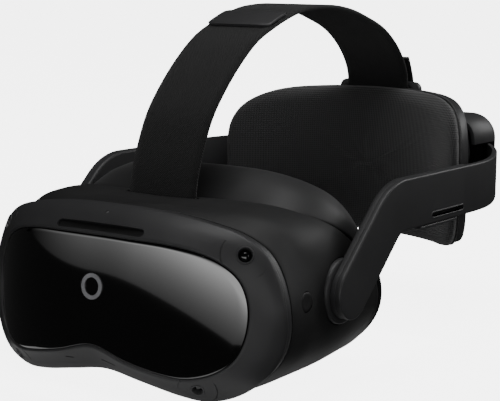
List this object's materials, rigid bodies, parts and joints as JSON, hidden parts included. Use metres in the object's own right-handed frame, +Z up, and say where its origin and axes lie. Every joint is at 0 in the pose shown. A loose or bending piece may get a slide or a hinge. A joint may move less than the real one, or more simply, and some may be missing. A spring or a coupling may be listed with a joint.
{
  "type": "vr headset",
  "caption": "Head-worn display with a wrap-round visor, pivoting side arms, a sliding padded rear cradle with a battery, and a woven top strap.",
  "frame": {"origin": "under the middle of the bounding box, level with the lowest point of the visor", "axes": "visor faces -Y, +X is the wearer's left, +Z is up as worn"},
  "size_m": [0.2, 0.3396, 0.1899],
  "materials": {
    "satin_black": "satin moulded plastic",
    "soft_black": "fine-textured soft-touch plastic",
    "gloss_black": "polished window plastic",
    "emblem_grey": "light grey satin",
    "lens_glass": "coated lens glass",
    "leatherette": "smooth synthetic leather",
    "mesh_fabric": "spacer mesh knit",
    "webbing": "woven elastic webbing",
    "steel": "machined",
    "aluminium": "extruded",
    "board_green": "circuit board",
    "battery_black": "fine-textured",
    "led_white": "diffuser"
  },
  "bodies": {
    "visor": {"front_window": "gloss_black", "front_emblem": "emblem_grey", "front_bezel": "satin_black", "camera_cover_upper_left": "satin_black", "camera_cover_upper_right": "satin_black", "camera_cover_lower_left": "satin_black", "camera_cover_lower_right": "satin_black", "camera_lens_upper_left": "lens_glass", "camera_lens_upper_right": "lens_glass", "camera_lens_lower_left": "lens_glass", "camera_lens_lower_right": "lens_glass", "status_light": "led_white", "vent_grille": "soft_black", "trim_ring": "satin_black", "shell_housing": "soft_black", "pivot_base_left": "satin_black", "pivot_base_right": "satin_black", "pivot_pin_left": "steel", "pivot_pin_right": "steel", "spacing_axle": "steel", "data_port": "steel", "strap_bar_front": "steel", "lens_plate": "soft_black", "main_board": "board_green", "heat_sink": "aluminium", "strap_front": "webbing"},
    "optics_left": {"lens_barrel_left": "soft_black", "eyepiece_lens_left": "lens_glass", "display_panel_left": "lens_glass"},
    "optics_right": {"lens_barrel_right": "soft_black", "eyepiece_lens_right": "lens_glass", "display_panel_right": "lens_glass"},
    "lens_wheel": {"spacing_wheel": "satin_black"},
    "fan_rotor": {"cooling_fan": "soft_black"},
    "power_key": {"power_button": "soft_black"},
    "volume_up_key": {"volume_up": "soft_black"},
    "volume_down_key": {"volume_down": "soft_black"},
    "face_pad": {"gasket_frame": "soft_black", "face_cushion": "leatherette"},
    "head_band": {"arm_left": "satin_black", "arm_right": "satin_black", "arm_cover_left": "satin_black", "arm_cover_right": "satin_black", "speaker_left": "soft_black", "speaker_right": "soft_black", "sound_lip_left": "satin_black", "sound_lip_right": "satin_black", "strap_tab": "satin_black"},
    "rear_cradle": {"rear_pad": "mesh_fabric", "rear_carrier": "soft_black", "rear_neck": "soft_black", "rear_housing": "soft_black", "strap_bracket": "satin_black", "strap_rear": "webbing"},
    "size_dial": {"fit_dial": "satin_black", "dial_pinion": "steel"},
    "left_rack": {"rack_left": "satin_black"},
    "right_rack": {"rack_right": "satin_black"},
    "battery": {"battery_pack": "battery_black"},
    "battery_key": {"battery_latch": "satin_black"}
  },
  "joints": [
    {"name": "band_pitch", "type": "hinge", "parent": "visor", "child": "head_band", "pos_m": [0, -0.08175, 0.04838], "axis": [1, 0, 0], "range_deg": [-6, 22], "deforming": ["strap_front", "strap_rear"]},
    {"name": "size_slide", "type": "slide", "parent": "head_band", "child": "rear_cradle", "axis": [0, 1, 0], "range_m": [0, 0.02]},
    {"name": "dial_turn", "type": "hinge", "parent": "rear_cradle", "child": "size_dial", "pos_m": [0, 0.16125, 0.08738], "axis": [0, 1, 0], "range_deg": [0, 191]},
    {"name": "rack_left_slide", "type": "slide", "parent": "rear_cradle", "child": "left_rack", "axis": [1, 0, 0], "range_m": [0, 0.02]},
    {"name": "rack_right_slide", "type": "slide", "parent": "rear_cradle", "child": "right_rack", "axis": [-1, 0, 0], "range_m": [0, 0.02]},
    {"name": "battery_slide", "type": "slide", "parent": "rear_cradle", "child": "battery", "axis": [0, 0, -1], "range_m": [0, 0.07]},
    {"name": "battery_key_press", "type": "slide", "parent": "battery", "child": "battery_key", "axis": [0, 0, 1], "range_m": [0, 0.0008], "stiffness_N_per_m": 500, "springref_m": -0.001},
    {"name": "face_pad_pull", "type": "slide", "parent": "visor", "child": "face_pad", "axis": [0, 1, 0], "range_m": [0, 0.03]},
    {"name": "lens_left_slide", "type": "slide", "parent": "visor", "child": "optics_left", "axis": [1, 0, 0], "range_m": [-0.0035, 0.0035]},
    {"name": "lens_right_slide", "type": "slide", "parent": "visor", "child": "optics_right", "axis": [1, 0, 0], "range_m": [-0.0035, 0.0035]},
    {"name": "lens_wheel_turn", "type": "hinge", "parent": "visor", "child": "lens_wheel", "pos_m": [0.048, -0.10575, 0.01118], "axis": [1, 0, 0], "range_deg": [-81, 81]},
    {"name": "fan_spin", "type": "hinge", "parent": "visor", "child": "fan_rotor", "pos_m": [0, -0.13325, 0.07038], "axis": [0, 1, 0], "continuous": true},
    {"name": "power_press", "type": "slide", "parent": "visor", "child": "power_key", "axis": [-1, 0, 0], "range_m": [0, 0.0008], "stiffness_N_per_m": 500, "springref_m": -0.001},
    {"name": "volume_up_press", "type": "slide", "parent": "visor", "child": "volume_up_key", "axis": [1, 0, 0], "range_m": [0, 0.0008], "stiffness_N_per_m": 500, "springref_m": -0.001},
    {"name": "volume_down_press", "type": "slide", "parent": "visor", "child": "volume_down_key", "axis": [1, 0, 0], "range_m": [0, 0.0008], "stiffness_N_per_m": 500, "springref_m": -0.001}
  ],
  "couplings": [
    {"joint": "dial_turn", "follows": "size_slide", "rad_per_m": 166.67},
    {"joint": "rack_left_slide", "follows": "size_slide", "ratio": 1},
    {"joint": "rack_right_slide", "follows": "size_slide", "ratio": 1},
    {"joint": "lens_right_slide", "follows": "lens_left_slide", "ratio": -1},
    {"joint": "lens_wheel_turn", "follows": "lens_left_slide", "rad_per_m": 400}
  ]
}
